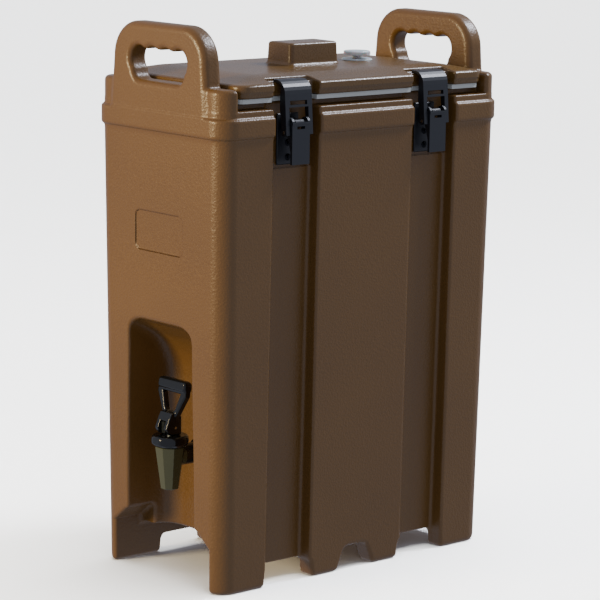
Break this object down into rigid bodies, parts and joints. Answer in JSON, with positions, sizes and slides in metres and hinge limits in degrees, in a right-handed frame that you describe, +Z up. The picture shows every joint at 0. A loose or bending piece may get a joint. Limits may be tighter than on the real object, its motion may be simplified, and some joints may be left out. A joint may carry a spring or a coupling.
{
  "type": "insulated beverage carrier",
  "caption": "Insulated beverage carrier: double-wall moulded tank with handles, lift-off latched lid with vent, and a lever tap in a front recess.",
  "frame": {"origin": "middle of the carrier's footprint, on the surface its feet stand on", "axes": "+X across the carrier, +Y along it away from the tap end, +Z up"},
  "size_m": [0.2364, 0.418, 0.62],
  "materials": {
    "brown_polyethylene": "rotationally moulded polyethylene, fine pebble grain",
    "foam": "rigid polyurethane foam",
    "black_nylon": "moulded glass-filled nylon, satin",
    "tap_black": "moulded plastic, polished",
    "seal_grey": "grey moulded seal",
    "natural_plastic": "natural translucent plastic",
    "silicone": "clear silicone",
    "steel": "stainless steel"
  },
  "bodies": {
    "carrier": {"body_shell": "brown_polyethylene", "body_foam": "foam", "body_fill_plug": "black_nylon", "tap_body": "tap_black", "tap_bonnet": "tap_black", "tap_locknut": "black_nylon", "tap_washer_outer": "seal_grey", "tap_washer_inner": "seal_grey", "latch_left_front_bracket": "black_nylon", "latch_left_front_lever_pin": "steel", "latch_left_front_rivet_lower": "steel", "latch_left_front_rivet_upper": "steel", "latch_left_rear_bracket": "black_nylon", "latch_left_rear_lever_pin": "steel", "latch_left_rear_rivet_lower": "steel", "latch_left_rear_rivet_upper": "steel", "latch_right_front_bracket": "black_nylon", "latch_right_front_lever_pin": "steel", "latch_right_front_rivet_lower": "steel", "latch_right_front_rivet_upper": "steel", "latch_right_rear_bracket": "black_nylon", "latch_right_rear_lever_pin": "steel", "latch_right_rear_rivet_lower": "steel", "latch_right_rear_rivet_upper": "steel"},
    "lid": {"lid_shell": "brown_polyethylene", "lid_foam": "foam", "lid_fill_plug": "black_nylon", "lid_gasket": "seal_grey", "vent_seat": "natural_plastic", "vent_o_ring": "seal_grey"},
    "vent_cap": {"vent_cap": "natural_plastic"},
    "tap_stem": {"tap_stem": "natural_plastic", "tap_seat_cup": "silicone", "tap_spring": "steel"},
    "tap_handle": {"tap_handle": "tap_black", "tap_handle_pin": "steel"},
    "latch_left_front_lever": {"latch_left_front_lever": "black_nylon", "latch_left_front_strap_pin": "steel"},
    "latch_left_front_strap": {"latch_left_front_strap": "black_nylon"},
    "latch_left_rear_lever": {"latch_left_rear_lever": "black_nylon", "latch_left_rear_strap_pin": "steel"},
    "latch_left_rear_strap": {"latch_left_rear_strap": "black_nylon"},
    "latch_right_front_lever": {"latch_right_front_lever": "black_nylon", "latch_right_front_strap_pin": "steel"},
    "latch_right_front_strap": {"latch_right_front_strap": "black_nylon"},
    "latch_right_rear_lever": {"latch_right_rear_lever": "black_nylon", "latch_right_rear_strap_pin": "steel"},
    "latch_right_rear_strap": {"latch_right_rear_strap": "black_nylon"}
  },
  "joints": [
    {"name": "lid_lift", "type": "slide", "parent": "carrier", "child": "lid", "axis": [0, 0, 1], "range_m": [0, 0.18]},
    {"name": "vent_cap_turn", "type": "hinge", "parent": "lid", "child": "vent_cap", "pos_m": [0, 0.083, 0.575], "axis": [0, 0, 1], "range_deg": [0, 90]},
    {"name": "tap_stem_lift", "type": "slide", "parent": "carrier", "child": "tap_stem", "axis": [0, 0, 1], "range_m": [0, 0.0046], "deforming": ["tap_spring"]},
    {"name": "tap_handle_tilt", "type": "hinge", "parent": "tap_stem", "child": "tap_handle", "pos_m": [0, -0.187, 0.172], "axis": [1, 0, 0], "range_deg": [0, 75], "stiffness_Nm_per_rad": 0.01},
    {"name": "latch_left_front_lever_turn", "type": "hinge", "parent": "carrier", "child": "latch_left_front_lever", "pos_m": [-0.112, -0.102, 0.517], "axis": [0, 1, 0], "range_deg": [0, 110]},
    {"name": "latch_left_front_strap_turn", "type": "hinge", "parent": "latch_left_front_lever", "child": "latch_left_front_strap", "pos_m": [-0.11078, -0.102, 0.50708], "axis": [0, -1, 0], "range_deg": [0, 155]},
    {"name": "latch_left_rear_lever_turn", "type": "hinge", "parent": "carrier", "child": "latch_left_rear_lever", "pos_m": [-0.112, 0.102, 0.517], "axis": [0, 1, 0], "range_deg": [0, 110]},
    {"name": "latch_left_rear_strap_turn", "type": "hinge", "parent": "latch_left_rear_lever", "child": "latch_left_rear_strap", "pos_m": [-0.11078, 0.102, 0.50708], "axis": [0, -1, 0], "range_deg": [0, 155]},
    {"name": "latch_right_front_lever_turn", "type": "hinge", "parent": "carrier", "child": "latch_right_front_lever", "pos_m": [0.112, -0.102, 0.517], "axis": [0, -1, 0], "range_deg": [0, 110]},
    {"name": "latch_right_front_strap_turn", "type": "hinge", "parent": "latch_right_front_lever", "child": "latch_right_front_strap", "pos_m": [0.11078, -0.102, 0.50708], "axis": [0, 1, 0], "range_deg": [0, 155]},
    {"name": "latch_right_rear_lever_turn", "type": "hinge", "parent": "carrier", "child": "latch_right_rear_lever", "pos_m": [0.112, 0.102, 0.517], "axis": [0, -1, 0], "range_deg": [0, 110]},
    {"name": "latch_right_rear_strap_turn", "type": "hinge", "parent": "latch_right_rear_lever", "child": "latch_right_rear_strap", "pos_m": [0.11078, 0.102, 0.50708], "axis": [0, 1, 0], "range_deg": [0, 155]}
  ],
  "couplings": [
    {"joint": "tap_stem_lift", "follows": "tap_handle_tilt", "m_per_rad": 0.0034},
    {"joint": "latch_left_front_strap_turn", "follows": "latch_left_front_lever_turn", "ratio": 1.4},
    {"joint": "latch_left_rear_strap_turn", "follows": "latch_left_rear_lever_turn", "ratio": 1.4},
    {"joint": "latch_right_front_strap_turn", "follows": "latch_right_front_lever_turn", "ratio": 1.4},
    {"joint": "latch_right_rear_strap_turn", "follows": "latch_right_rear_lever_turn", "ratio": 1.4}
  ]
}
